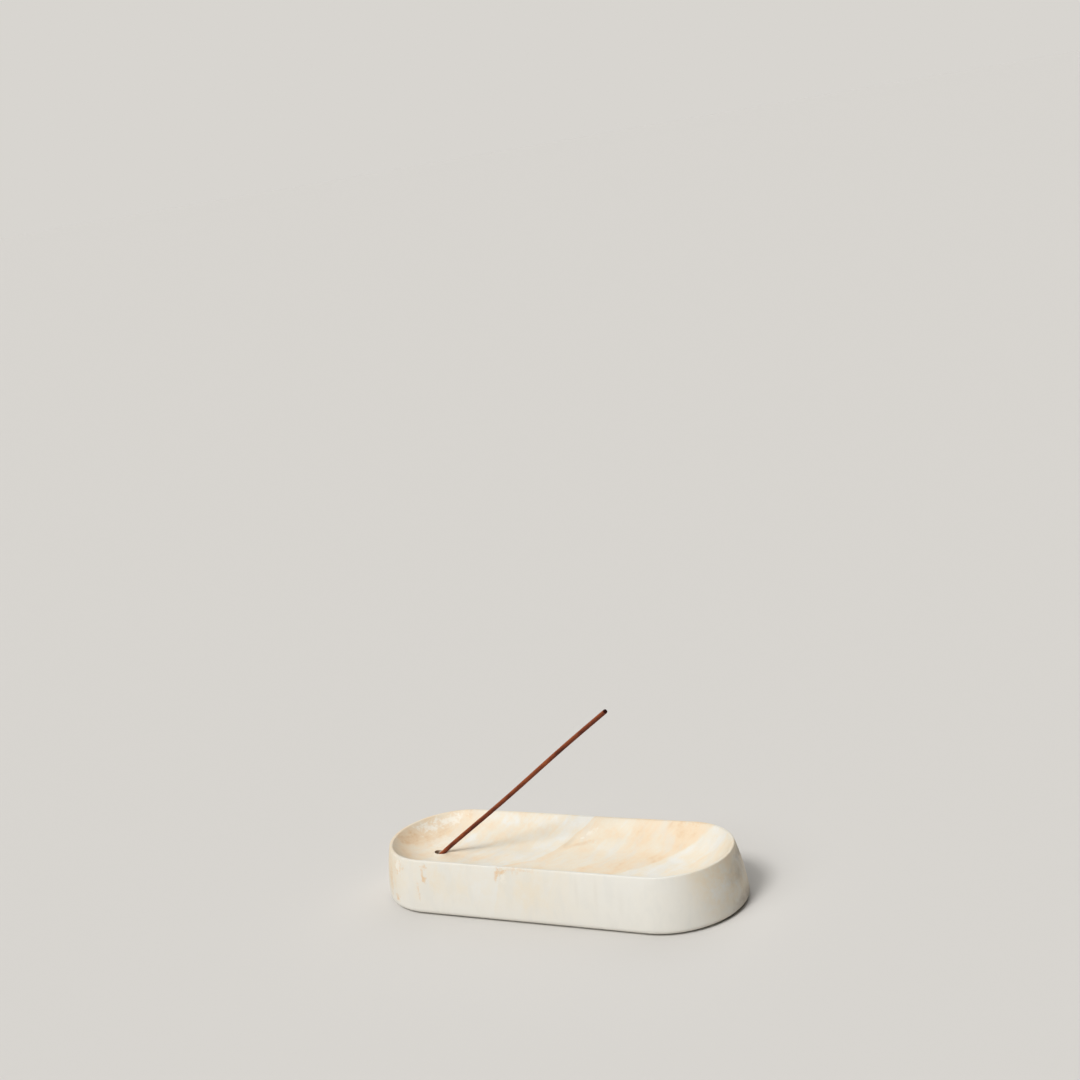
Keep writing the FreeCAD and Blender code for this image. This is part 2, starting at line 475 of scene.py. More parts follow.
    def _folded(self, tree: Tree, place: Output) -> Output:
        """Push every point about, as the folds and ripples of the pour do.

        Args:
            tree: the material's nodes.
            place: the point in millimetres.

        Returns:
            The pushed point.
        """
        folded = place
        for size, reach in (
            (self.fold_mm, self.fold_reach_mm),
            (self.ripple_mm, self.ripple_reach_mm),
        ):
            swirl = add_node(
                tree, "TexNoise", {"Vector": place, "Scale": 1 / size, "Detail": 2.0, "Roughness": 0.5}
            )
            centred = add_node(
                tree, "VectorMath", {0: swirl.outputs["Color"], 1: (0.5, 0.5, 0.5)}, operation="SUBTRACT"
            )
            shift = add_node(
                tree, "VectorMath", {0: centred.outputs[0], "Scale": reach}, operation="SCALE"
            )
            folded = add_node(
                tree, "VectorMath", {0: folded, 1: shift.outputs[0]}, operation="ADD"
            ).outputs[0]
        return folded

    def _seamed(self, tree: Tree, folded: Output) -> Output:
        """Add up what every seam brings.

        Args:
            tree: the material's nodes.
            folded: the pushed point.

        Returns:
            How much of the peach batch shows, before its lines and clouds.
        """
        split = add_node(tree, "SeparateXYZ", {0: folded})
        along = add_node(
            tree, "VectorMath", {0: folded, 1: (1.0, 0.0, -self.wall_lean)}, operation="DOT_PRODUCT"
        )
        at_rim = add_node(
            tree, "Math", {0: along.outputs["Value"], 1: self.seam_height_mm * self.wall_lean},
            operation="ADD",
        )
        back = add_node(
            tree, "Math", {0: split.outputs["Y"], 1: self.lean_from_mm}, operation="MAXIMUM"
        )
        square = add_node(tree, "Math", {0: back.outputs[0], 1: 2.0}, operation="POWER")
        swept = []
        for near, far in (self.sweep_in_mm, self.sweep_out_mm[::-1]):
            swept.append(add_node(
                tree, "MapRange", {"Value": split.outputs["Y"], "From Min": near, "From Max": far},
                interpolation_type="SMOOTHSTEP",
            ))
        sweep = add_node(
            tree, "Math", {0: swept[0].outputs[0], 1: swept[1].outputs[0]}, operation="MULTIPLY"
        )
        amount: Output | float = self.end_peach
        for seam in self.seams:
            past = at_rim.outputs[0]
            for source, factor in ((back, seam.lean), (square, seam.curl), (sweep, seam.sweep)):
                past = add_node(
                    tree, "Math", {0: source.outputs[0], 1: -factor, 2: past}, operation="MULTIPLY_ADD"
                ).outputs[0]
            rise = add_node(
                tree, "MapRange",
                {"Value": past, "From Min": seam.at - seam.soft / 2, "From Max": seam.at + seam.soft / 2,
                 "To Min": 0.0, "To Max": seam.peach},
                interpolation_type="SMOOTHSTEP",
            )
            brought = rise.outputs[0]
            if seam.fade:
                fall = add_node(
                    tree, "MapRange",
                    {"Value": past, "From Min": seam.at, "From Max": seam.at + seam.fade, "To Min": 1.0,
                     "To Max": 0.0},
                )
                brought = add_node(
                    tree, "Math", {0: brought, 1: fall.outputs[0]}, operation="MULTIPLY"
                ).outputs[0]
            amount = add_node(tree, "Math", {0: amount, 1: brought}, operation="ADD").outputs[0]
        return amount

    def _peach_amount(self, tree: Tree, place: Output, folded: Output) -> Output:
        """How much of the peach batch shows: the seams, the fine flow lines, the clouds and the patches.

        Args:
            tree: the material's nodes.
            place: the point in millimetres.
            folded: the pushed point.

        Returns:
            From 0 for the pale batch to 1 for the deepest peach.
        """
        amount = self._seamed(tree, folded)
        split = add_node(tree, "SeparateXYZ", {0: folded})
        leaning = add_node(
            tree, "VectorMath", {0: folded, 1: (1.0, -self.streak_lean, -self.wall_lean)},
            operation="DOT_PRODUCT",
        )
        stretched = add_node(tree, "CombineXYZ")
        for socket, source, size in (
            ("X", leaning.outputs["Value"], self.streak_width_mm),
            ("Y", split.outputs["Y"], self.streak_length_mm),
            ("Z", split.outputs["Z"], self.streak_length_mm),
        ):
            scaled = add_node(tree, "Math", {0: source, 1: 1 / size}, operation="MULTIPLY")
            tree.links.new(scaled.outputs[0], stretched.inputs[socket])
        lines = add_node(
            tree, "TexNoise", {"Vector": stretched.outputs[0], "Scale": 1.0, "Detail": 3.0, "Roughness": 0.6}
        )
        clouds = add_node(
            tree, "TexNoise", {"Vector": folded, "Scale": 1 / self.cloud_mm, "Detail": 5.0, "Roughness": 0.62}
        )
        for pattern, swing in ((lines, self.streak_swing), (clouds, self.cloud_swing)):
            shift = add_node(
                tree, "MapRange",
                {"Value": pattern.outputs[0], "From Min": 0.25, "From Max": 0.75, "To Min": -swing,
                 "To Max": swing},
            )
            amount = add_node(tree, "Math", {0: amount, 1: shift.outputs[0]}, operation="ADD").outputs[0]
        torn = add_node(
            tree, "TexNoise",
            {"Vector": place, "Scale": 1 / self.patch_edge.torn_mm, "Detail": 4.0, "Roughness": 0.65},
        )
        for patch in self.patches:
            share = self._spot(tree, place, torn, patch, self.patch_edge)
            amount = add_node(tree, "Math", {0: amount, 1: share}, operation="ADD").outputs[0]
        clamped = add_node(tree, "Math", {0: amount, 1: 0.0}, operation="ADD", use_clamp=True)
        return self._thinned(tree, clamped.outputs[0], split)

    def _spot(self, tree: Tree, place: Output, torn: Node, spot: Spot, edge: TornEdge) -> Output:
        """How much of a spot shows at a point.

        Args:
            tree: the material's nodes.
            place: the point in millimetres.
            torn: the noise that tears the spot's edge.
            spot: the spot.
            edge: how ragged its edge is.

        Returns:
            From 0 outside the spot to its strength in the middle.
        """
        local = add_node(
            tree, "Mapping",
            {"Vector": place, "Location": spot.place, "Rotation": (0.0, 0.0, math.radians(spot.turn_degrees)),
             "Scale": spot.reach},
            vector_type="TEXTURE",
        )
        away = add_node(tree, "VectorMath", {0: local.outputs[0]}, operation="LENGTH")
        ragged = add_node(
            tree, "Math", {0: torn.outputs[0], 1: edge.tear, 2: away.outputs["Value"]},
            operation="MULTIPLY_ADD",
        )
        share = add_node(
            tree, "MapRange",
            {"Value": ragged.outputs[0], "From Min": edge.tear / 2 + self.spot_reach,
             "From Max": edge.tear / 2 + edge.core, "To Min": 0.0, "To Max": spot.strength},
            interpolation_type="SMOOTHSTEP",
        )
        return share.outputs[0]

    def _thinned(self, tree: Tree, amount: Output, split: Node) -> Output:
        """Let the peach thin out down the walls and along the front, where the pale batch went in first.

        Args:
            tree: the material's nodes.
            amount: how much of the peach batch shows.
            split: the node that gives the pushed point's X, Y and Z.

        Returns:
            The thinned amount.
        """
        shares = []
        for thinning in (*self.thinnings, self.front_thinning):
            shares.append(add_node(
                tree, "MapRange",
                {"Value": split.outputs[thinning.axis], "From Min": thinning.thin_at,
                 "From Max": thinning.full_at, "To Min": thinning.least, "To Max": 1.0},
                interpolation_type="SMOOTHSTEP",
            ).outputs[0])
        near, far = self.front_wall_mm
        on_front = add_node(
            tree, "MapRange", {"Value": split.outputs["Y"], "From Min": near, "From Max": far},
            interpolation_type="SMOOTHSTEP",
        )
        shares[-1] = add_node(
            tree, "Mix", {"Factor": on_front.outputs[0], 2: 1.0, 3: shares[-1]}, data_type="FLOAT"
        ).outputs[0]
        for share in shares:
            amount = add_node(tree, "Math", {0: amount, 1: share}, operation="MULTIPLY").outputs[0]
        return amount

    def _batches(self, tree: Tree, amount: Output, folded: Output) -> Output:
        """Colour the batches, and lay a thin grey-white veil over them in places.

        Args:
            tree: the material's nodes.
            amount: how much of the peach batch shows.
            folded: the pushed point.

        Returns:
            The colour of the casting without its spots.
        """
        batches = add_node(tree, "ValToRGB", {"Fac": amount})
        set_ramp(
            batches,
            [(0.0, linear(self.white)), (0.28, linear(self.cream)), (0.62, linear(self.peach)),
             (1.0, linear(self.tan))],
        )
        drawn_out = add_node(
            tree, "VectorMath", {0: folded, 1: tuple(1 / size for size in self.veil_mm)},
            operation="MULTIPLY",
        )
        veil = add_node(
            tree, "TexNoise", {"Vector": drawn_out.outputs[0], "Scale": 1.0, "Detail": 4.0, "Roughness": 0.6}
        )
        none, most = self.veil_range
        share = add_node(
            tree, "MapRange",
            {"Value": veil.outputs[0], "From Min": none, "From Max": most, "To Min": 0.0,
             "To Max": self.veil_most},
            interpolation_type="SMOOTHSTEP",
        )
        mixed = add_node(
            tree, "Mix", {"Factor": share.outputs[0], 6: batches.outputs[0], 7: linear(self.veil)},
            data_type="RGBA",
        )
        return mixed.outputs[2]

    def _spotted(self, tree: Tree, place: Output, colour: Output) -> Output:
        """Lay the grey-brown, ochre and white spots over the casting, with torn edges; the grey-brown is
        partly painted shade.

        Args:
            tree: the material's nodes.
            place: the point in millimetres.
            colour: the casting's colour.

        Returns:
            The base colour.
        """
        for spots, tint, edge in (
            (self.veins_and_painted_shade, self.taupe_and_painted_shade, self.shade_edge),
            (self.flecks, self.ochre, self.fleck_edge),
            (self.clouds, self.cloud, self.cloud_edge),
        ):
            torn = add_node(
                tree, "TexNoise",
                {"Vector": place, "Scale": 1 / edge.torn_mm, "Detail": 4.0, "Roughness": 0.68},
            )
            for spot in spots:
                share = self._spot(tree, place, torn, spot, edge)
                colour = add_node(
                    tree, "Mix", {"Factor": share, 6: colour, 7: linear(tint)}, data_type="RGBA"
                ).outputs[2]
        return colour

    def _relief(self, tree: Tree, place: Output) -> Output:
        """Fine grain and sparse pinholes, as sanded plaster has.

        Args:
            tree: the material's nodes.
            place: the point in millimetres.

        Returns:
            The bumped normal.
        """
        grain = add_node(
            tree, "TexNoise", {"Vector": place, "Scale": 1 / self.grain_mm, "Detail": 3.0, "Roughness": 0.6}
        )
        cells = add_node(tree, "TexVoronoi", {"Vector": place, "Scale": 1 / self.pinhole_spacing_mm})
        floor, edge = self.pinhole_range
        pits = add_node(
            tree, "MapRange",
            {"Value": cells.outputs["Distance"], "From Min": floor, "From Max": edge, "To Min": -1.0,
             "To Max": 0.0},
        )
        height = add_node(tree, "Math", {0: grain.outputs[0], 1: pits.outputs[0]}, operation="ADD")
        bump = add_node(
            tree, "Bump",
            {"Height": height.outputs[0], "Strength": self.relief_strength,
             "Distance": self.relief_mm * MM},
        )
        return bump.outputs[0]

    def _sheen(self, tree: Tree, place: Output) -> Output:
        """Let the sealed surface be a little smoother in some patches than in others."""
        patches = add_node(
            tree, "TexNoise", {"Vector": place, "Scale": 1 / self.seal_patch_mm, "Detail": 4.0}
        )
        varied = add_node(
            tree, "MapRange",
            {"Value": patches.outputs[0], "From Min": 0.3, "From Max": 0.7,
             "To Min": self.roughness - self.smoother, "To Max": self.roughness + self.rougher},
        )
        return varied.outputs[0]


@dataclass(frozen=True)
class IncensePaste:
    """Makko and sandalwood powder, kneaded, pressed through a nozzle and dried.

    The dry paste is red-brown and quite matt. Coarser grains stand out as pale and dark specks.
    The side that faces up has painted light on it, and the underside painted shade.
    """

    name: str = "incense_paste_pressed_and_dried"
    body: str = "6e2f14"
    dark: str = "4a1a09"
    pale: str = "93491f"
    roughness: float = 0.85
    ior: float = 1.45
    grain_mm: float = 0.35              # ground wood is 0.1 to 0.2 mm; drawn coarser so that it shows
    patch_mm: float = 7.0               # where the paste was kneaded unevenly
    relief_mm: float = 0.08
    relief_strength: float = 0.6
    # Painted light and shade: the side that faces up is drawn paler and the underside darker
    painted_light_side: tuple[float, float, float] = (-0.589, 0.0, 0.808)
    painted_light_upper: float = 0.16            # painted light: how much paler the side that faces up is drawn
    painted_shade_lower: float = 0.03

    def material(self) -> Material:
        """Make the material.

        Returns:
            The incense stick's material.
        """
        made, tree, shader = new_material(self.name)
        place = millimetres(tree)
        grain = add_node(
            tree, "TexNoise", {"Vector": place, "Scale": 1 / self.grain_mm, "Detail": 3.0, "Roughness": 0.65}
        )
        patches = add_node(tree, "TexNoise", {"Vector": place, "Scale": 1 / self.patch_mm, "Detail": 2.0})
        tone = add_node(tree, "Math", {0: grain.outputs[0], 1: patches.outputs[0]}, operation="ADD")
        halved = add_node(tree, "Math", {0: tone.outputs[0], 1: 0.5}, operation="MULTIPLY")
        # Painted light and shade: paler on the side that faces up, darker underneath
        surface = add_node(tree, "TexCoord")
        upper = add_node(
            tree, "VectorMath", {0: surface.outputs["Normal"], 1: self.painted_light_side},
            operation="DOT_PRODUCT",
        )
        dried = add_node(
            tree, "MapRange",
            {"Value": upper.outputs["Value"], "From Min": 0.0, "From Max": 0.9,
             "To Min": -self.painted_shade_lower, "To Max": self.painted_light_upper},
        )
        paler = add_node(tree, "Math", {0: halved.outputs[0], 1: dried.outputs[0]}, operation="ADD")
        ramp = add_node(tree, "ValToRGB", {"Fac": paler.outputs[0]})
        set_ramp(
            ramp, [(0.36, linear(self.dark)), (0.5, linear(self.body)), (0.66, linear(self.pale))]
        )
        bump = add_node(
            tree, "Bump",
            {"Height": grain.outputs[0], "Strength": self.relief_strength,
             "Distance": self.relief_mm * MM},
        )
        set_inputs(tree, shader, {
            "Base Color": ramp.outputs[0], "Normal": bump.outputs[0], "Roughness": self.roughness,
            "IOR": self.ior,
        })
        return made


@dataclass(frozen=True)
class Char:
    """The same paste, burnt and put out: black-brown, cracked and dead matt, with a little grey ash."""

    name: str = "incense_paste_burnt_to_char"
    black: str = "1c0805"
    brown: str = "441509"
    ash: str = "5e2d1e"
    roughness: float = 0.95
    gloss: float = 0.12                 # char soaks up nearly all light, with hardly any sheen
    crack_mm: float = 0.45
    crust_mm: float = 0.6
    relief_mm: float = 0.15
    relief_strength: float = 0.8

    def material(self) -> Material:
        """Make the material.

        Returns:
            The charred tip's material.
        """
        made, tree, shader = new_material(self.name)
        place = millimetres(tree)
        cracks = add_node(
            tree, "TexVoronoi", {"Vector": place, "Scale": 1 / self.crack_mm}, feature="DISTANCE_TO_EDGE"
        )
        crust = add_node(tree, "TexNoise", {"Vector": place, "Scale": 1 / self.crust_mm, "Detail": 4.0})
        ramp = add_node(tree, "ValToRGB", {"Fac": crust.outputs[0]})
        set_ramp(
            ramp, [(0.4, linear(self.black)), (0.58, linear(self.brown)), (0.74, linear(self.ash))]
        )
        bump = add_node(
            tree, "Bump",
            {"Height": cracks.outputs["Distance"], "Strength": self.relief_strength,
             "Distance": self.relief_mm * MM},
        )
        set_inputs(tree, shader, {
            "Base Color": ramp.outputs[0], "Normal": bump.outputs[0], "Roughness": self.roughness,
            "Specular IOR Level": self.gloss,
        })
        return made


@dataclass(frozen=True)
class SiliconePad:
    """Milky silicone rubber, moulded: soft, slightly see-through and satin, with a fine moulded grain."""

    name: str = "silicone_rubber_moulded_milky"
    body: str = "d9d7d0"
    shade: str = "c9c6bd"
    roughness: float = 0.42
    ior: float = 1.41
    cloud_mm: float = 3.0
    grain_mm: float = 0.4
    relief_mm: float = 0.03
    relief_strength: float = 0.2

    def material(self) -> Material:
        """Make the material.

        Returns:
            The feet's material.
        """
        made, tree, shader = new_material(self.name)
        place = millimetres(tree)
        clouds = add_node(tree, "TexNoise", {"Vector": place, "Scale": 1 / self.cloud_mm, "Detail": 2.0})
        ramp = add_node(tree, "ValToRGB", {"Fac": clouds.outputs[0]})
        set_ramp(ramp, [(0.35, linear(self.shade)), (0.65, linear(self.body))])
        grain = add_node(tree, "TexNoise", {"Vector": place, "Scale": 1 / self.grain_mm})
        bump = add_node(
            tree, "Bump",
            {"Height": grain.outputs[0], "Strength": self.relief_strength,
             "Distance": self.relief_mm * MM},
        )
        set_inputs(tree, shader, {
            "Base Color": ramp.outputs[0], "Normal": bump.outputs[0], "Roughness": self.roughness,
            "IOR": self.ior,
        })
        return made


# ---- The tray ----


@dataclass
class Socket:
    """The slanted hole for the stick, 4 mm across, with a softened mouth."""

    radius: float = 2.0 * MM
    depth: float = 12.5 * MM
    lean_degrees: float = 36.1
    mouth_from_end: float = 24.1 * MM
    mouth_round: float = 0.35 * MM
    points_round: int = 56
    settle_rounds: int = 12             # to find where its wall meets the dish
    settle_share: float = 0.8           # of the gap that is left, each round
    rings_around: tuple[float, ...] = tuple(
        away * MM for away in (0.35, 0.8, 1.35, 2.0, 2.8, 3.7, 4.7)     # of points round the mouth
    )
    ring_stretch: float = 1.2           # of those rings along the tray
    clear_along: float = 7.2 * MM       # past the mouth, where the dish's even fill begins
    clear_across: float = 5.9 * MM

    def axis(self) -> Vector:
        """The direction up out of the socket."""
        lean = math.radians(self.lean_degrees)
        return Vector((math.cos(lean), 0, math.sin(lean)))

    def low_side(self) -> Vector:
        """The direction from the axis to the low side of the wall, where the stick lies."""
        lean = math.radians(self.lean_degrees)
        return Vector((math.sin(lean), 0, -math.cos(lean)))


@dataclass
class Tray:
    """The one-piece cast tray: drafted walls, rounded rim, ash dish, socket and recesses for the feet."""

    low: Vector                         # corners of the CAD tray's box
    high: Vector
    end_draft: float = 3.3 * MM
    side_draft: float = 3.5 * MM
    wall_crown: float = 0.8 * MM
    base_round: float = 2.0 * MM
    rim_outer_round: float = 0.6 * MM
    rim_inner_round: float = 0.9 * MM
    rim_width: float = 1.3 * MM
    foot_length: float = 170.0 * MM     # the walls' outline where they would meet the underside
    foot_width: float = 61.0 * MM
    dish_depth: float = 9.1 * MM
    dish_floor_width: float = 12.0 * MM
    fill_radius: float = 11.0 * MM      # inside this the dish is filled round the socket
    fill_step: float = 1.5 * MM         # spacing of the fill's points
    fill_clear: float = 0.8 * MM        # they stay this far inside that radius
    wobble: float = 0.16 * MM           # unevenness of a hand-finished casting
    wobble_length: float = 26.0 * MM
    ripple: float = 0.3                 # share of the wobble in a ripple a third as long
    recess_radius: float = 4.6 * MM
    recess_depth: float = 0.9 * MM
    recess_sides: int = 40
    side_steps: int = 80
    end_steps: int = 60
    socket: Socket = field(default_factory=Socket)
    finish: MarbledCast = field(default_factory=MarbledCast)

    def build(self, foot_centres: Sequence[Vector]) -> Object:
        """Build and dress the tray.

        Args:
            foot_centres: the middle of each foot.

        Returns:
            The tray's object.
        """
        draft = MeshDraft()
        mouth = self._socket(draft)
        rings = [draft.ring(points) for points in self._level_rings()]
        draft.fill(rings[0], [mouth], self._dish_points(), facing_up=True)
        for inner, outer in zip(rings, rings[1:]):
            draft.bridge(outer, inner)
        self._underside(draft, rings[-1], foot_centres)
        made = draft.to_object("tray", 40)
        made.data.materials.append(self.finish.material())
        return made

    @property
    def height(self) -> float:
        """From the underside to the top of the rim."""
        return self.high.z - self.low.z

    @property
    def rim_centre(self) -> float:
        """Where the half-round ends of the rim have their centres, along X."""
        return (self.foot_length - self.foot_width) / 2 + self.side_draft - self.end_draft

    @property
    def dish_radius(self) -> float:
        """Half the width of the dish where it meets the top of the rim."""
        return self.foot_width / 2 - self.side_draft - self.rim_width

    @property
    def floor_z(self) -> float:
        """The height of the flat floor of the dish."""
        return self.high.z - self.dish_depth

    @property
    def dish_span(self) -> float:
        """The width of the dish's slope, seen from above."""
        return self.dish_radius - self.dish_floor_width / 2

    @property
    def dish_arc(self) -> float:
        """The radius of the slope's hollow."""
        return (self.dish_span ** 2 + self.dish_depth ** 2) / (2 * self.dish_depth)

    @property
    def mouth(self) -> Vector:
        """Where the socket's axis meets the floor of the dish."""
        return Vector((self.socket.mouth_from_end - self.foot_length / 2, 0, self.floor_z))

    def dish_height(self, reach: float) -> float:
        """The height of the dish at a distance from the line between its end centres."""
        up_slope = max(reach - self.dish_floor_width / 2, 0.0)
        return self.floor_z + self.dish_arc - math.sqrt(self.dish_arc ** 2 - up_slope ** 2)

    def reach(self, x: float, y: float) -> float:
        """The distance from the line between the dish's end centres, seen from above."""
        return math.hypot(max(abs(x) - self.rim_centre, 0.0), y)

    def dish_point(self, x: float, y: float) -> Vector:
        """A point of the dish's surface, seen from above."""
        return Vector((x, y, self.dish_height(self.reach(x, y))))

    def uneven(self, point: Vector) -> Vector:
        """Move a point by the casting's unevenness, which fades out at the underside."""
        swing = noise.noise_vector(point / self.wobble_length)
        ripple = noise.noise_vector(point / (self.wobble_length / 3)) * self.ripple
        fade = smooth_step(point.z - self.low.z, 0.2 * MM, 4 * MM)
        return point + (swing + ripple) * self.wobble * fade

    def _outline(self, half_length: float, half_width: float, z: float) -> list[Vector]:
        """A ring of two straight sides and two half-round ends, anticlockwise from the front left.

        Args:
            half_length: from the middle to the tip of an end.
            half_width: from the middle to a side, which is also the ends' radius.
            z: the ring's height.

        Returns:
            As many points for any size, so that rings can be joined.
        """
        centre = half_length - half_width
        ring = []
        for side in (1, -1):
            for x in spread(-centre, centre, self.side_steps)[:-1]:
                ring.append(Vector((side * x, -side * half_width, z)))
            for turn in spread(-90, 90, self.end_steps)[:-1]:
                angle = math.radians(turn)
                x = centre + half_width * math.cos(angle)
                ring.append(Vector((side * x, side * half_width * math.sin(angle), z)))
        return [self.uneven(point) for point in ring]

    def _wall(self, share: float) -> tuple[float, float]:
        """Half-length and half-width of the walls at a share of their height."""
        bulge = 4 * share * (1 - share) * self.wall_crown
        return (
            self.foot_length / 2 - share * self.end_draft + bulge,
            self.foot_width / 2 - share * self.side_draft + bulge,
        )

    def _level_rings(self) -> list[list[Vector]]:
        """Every ring from the edge of the filled part of the dish, over the rim, to the underside.

        Returns:
            The rings, from the inside outwards.
        """
        rings = []
        entry = math.asin(self.dish_span / self.dish_arc)
        inner, outer = self.rim_inner_round, self.rim_outer_round
        tangent = inner * math.tan(entry / 2)
        for reach in spread(self.fill_radius, self.dish_radius - tangent * math.cos(entry), 14)[:-1]:
            rings.append(self._outline(self.rim_centre + reach, reach, self.dish_height(reach)))

        centre = self.dish_radius + tangent
        for angle in spread(entry, 0, 6):
            reach = centre - inner * math.sin(angle)
            z = self.high.z - inner + inner * math.cos(angle)
            rings.append(self._outline(self.rim_centre + reach, reach, z))

        top_slope = (self.side_draft + 4 * self.wall_crown) / self.height
        turn = math.pi / 2 - math.atan(top_slope)
        centre = self.dish_radius + self.rim_width - outer * math.tan(turn / 2)
        for angle in spread(0, turn, 7):
            reach = centre + outer * math.sin(angle)
            z = self.high.z - outer + outer * math.cos(angle)
            rings.append(self._outline(self.rim_centre + reach, reach, z))

        top_share = 1 - outer * (1 - math.cos(turn)) / self.height
        foot_slope = math.atan((self.side_draft - 4 * self.wall_crown) / self.height)
        foot_share = self.base_round * (1 + math.sin(foot_slope)) / self.height
        for share in spread(top_share, foot_share, 15)[1:-1]:
            rings.append(self._outline(*self._wall(share), self.low.z + share * self.height))

        inset = self.base_round / math.tan((math.pi / 2 - foot_slope) / 2)
        for angle in spread(foot_slope, -math.pi / 2, 8):
            reach = self.base_round * math.cos(angle) - inset
            z = self.low.z + self.base_round * (1 + math.sin(angle))
            rings.append(self._outline(self.foot_length / 2 + reach, self.foot_width / 2 + reach, z))
        return rings

    def _socket(self, draft: MeshDraft) -> list[int]:
        """Make the socket's bottom, wall and softened mouth.

        Args:
            draft: the tray's mesh.

        Returns:
            The ring of the mouth on the dish's surface.
        """
        hole, axis, low = self.socket, self.socket.axis(), self.socket.low_side()
        bottom = self.mouth - axis * hole.depth
        across = Vector((0, 1, 0))
        directions = [
            low * math.cos(turn) + across * math.sin(turn)
            for turn in (2 * math.pi * i / hole.points_round for i in range(hole.points_round))
        ]

        def edge(direction: Vector, extra: float) -> Vector:
            """Where a line up the wall, moved out by extra, meets the dish."""
            start = bottom + direction * (hole.radius + extra)
            reach = (self.floor_z - start.z) / axis.z
            for _ in range(hole.settle_rounds):
                point = start + axis * reach
                surface = self.dish_point(point.x, point.y).z
                reach += (surface - point.z) / axis.z * hole.settle_share
            point = start + axis * reach
            return self.dish_point(point.x, point.y)

        corners = [edge(direction, 0.0) for direction in directions]
        outside = [edge(direction, hole.mouth_round) for direction in directions]
        inside = [corner - axis * hole.mouth_round for corner in corners]
        base = [bottom + direction * hole.radius for direction in directions]
        rings = [draft.ring(base)]
        for share in (0.25, 0.5, 0.75, 0.92):
            rings.append(draft.ring([b.lerp(i, share) for b, i in zip(base, inside)]))
        for share in (0.0, 0.25, 0.5, 0.75, 1.0):
            curve = [
                i.lerp(c, share).lerp(c.lerp(o, share), share) for i, c, o in zip(inside, corners, outside)
            ]
            rings.append(draft.ring([self._at_mouth(point) for point in curve]))
        draft.close(rings[0], bottom)
        for lower, upper in zip(rings, rings[1:]):
            draft.bridge(upper, lower)
        return rings[-1]

    def _at_mouth(self, point: Vector) -> Vector:
        """Unevenness for the mouth, which fades out down the socket so that the stick still fits."""
        share = smooth_step(point.z, self.floor_z - 1.2 * MM, self.floor_z)
        return point.lerp(self.uneven(point), share)

    def _dish_points(self) -> list[Vector]:
        """Points of the dish inside its first ring: rings round the socket's mouth, then a grid."""
        points = []
        limit = self.fill_radius - self.fill_clear
        flat = self.socket.radius / self.socket.axis().z
        for number, away in enumerate(self.socket.rings_around):
            count = self.socket.points_round - 2 * number
            grow = away + self.socket.mouth_round
            for i in range(count):
                turn = 2 * math.pi * (i + 0.5 * (number % 2)) / count
                x = self.mouth.x + (flat + grow * self.socket.ring_stretch) * math.cos(turn)
                y = (self.socket.radius + grow) * math.sin(turn)
                if self.reach(x, y) < limit:
                    points.append(self.dish_point(x, y))
        clear_x = flat + self.socket.clear_along
        clear_y = self.socket.radius + self.socket.clear_across
        step = self.fill_step
        half_length = self.rim_centre + limit
        rows = int(limit / step)
        columns = int(half_length / step)
        for row in range(-rows, rows + 1):
            for column in range(-columns, columns + 1):
                x, y = (column + 0.5 * (row % 2)) * step, row * step
                apart = math.hypot((x - self.mouth.x) / clear_x, y / clear_y)
                if self.reach(x, y) < limit and apart > 1:
                    points.append(self.dish_point(x, y))
        return [self.uneven(point) for point in points]

    def _underside(self, draft: MeshDraft, rim: list[int], foot_centres: Sequence[Vector]) -> None:
        """Fill the underside and sink a recess for each foot.

        Args:
            draft: the tray's mesh.
            rim: the ring where the underside begins.
            foot_centres: the middle of each foot.
        """
        mouths = []
        for centre in foot_centres:
            level = Vector((centre.x, centre.y, self.low.z))
            circle = circle_points(level, self.recess_radius, self.recess_sides)
            lower = draft.ring(circle)
            lift = Vector((0, 0, self.recess_depth))
            upper = draft.ring([point + lift for point in circle])
            draft.bridge(upper, lower)
            draft.close(upper[::-1], level + lift)
            mouths.append(lower)
        draft.fill(rim, mouths, [], facing_up=False)


# ---- The stick ----


@dataclass
class Rod:
    """A stretch of the stick: a round rod that follows the stick's gentle bow."""

    start: Vector                       # middle of the stick's foot
    axis: Vector
    radius: float
    first: float                        # where the stretch begins and ends, along the stick
    last: float
    ring_step: float = 0.7 * MM
    sides: int = 28
    bow: float = 0.18 * MM              # how far it dried off the straight, to one side and back
    straight_foot: float = 10.0 * MM    # stays straight where the socket holds it
    bow_from: float = 38.0 * MM
    bow_length: float = 89.0 * MM

    def side_axes(self) -> tuple[Vector, Vector]:
        """Two directions across the rod, the first of them level."""
        level = Vector((0, 1, 0))
        return level, self.axis.cross(level)

    def centre(self, along: float) -> Vector:
        """The middle of the rod at a distance along it, bowed one way and then back."""
        level, upward = self.side_axes()
        ease = smooth_step(along, self.straight_foot, 2 * self.straight_foot)
        sway = -math.sin(2 * math.pi * (along - self.bow_from) / self.bow_length) * self.bow * ease
        return self.start + self.axis * along + upward * sway + level * sway * 0.4

    def ring_points(self, along: float, radius: float, rough: float, grain: float) -> list[Vector]:
        """A ring of points round the rod.

        Args:
            along: distance along the rod.
            radius: the ring's radius.
            rough: how far the surface may stand in, as pressed or burnt paste does.
            grain: the size of its lumps.

        Returns:
            The ring's points.
        """
        level, upward = self.side_axes()
        middle = self.centre(along)
        ring = []
        for i in range(self.sides):
            turn = 2 * math.pi * i / self.sides
            out = upward * math.cos(turn) - level * math.sin(turn)
            lump = noise.noise((middle + out * radius) / grain)
            ring.append(middle + out * (radius - rough * (0.5 + 0.5 * lump)))
        return ring


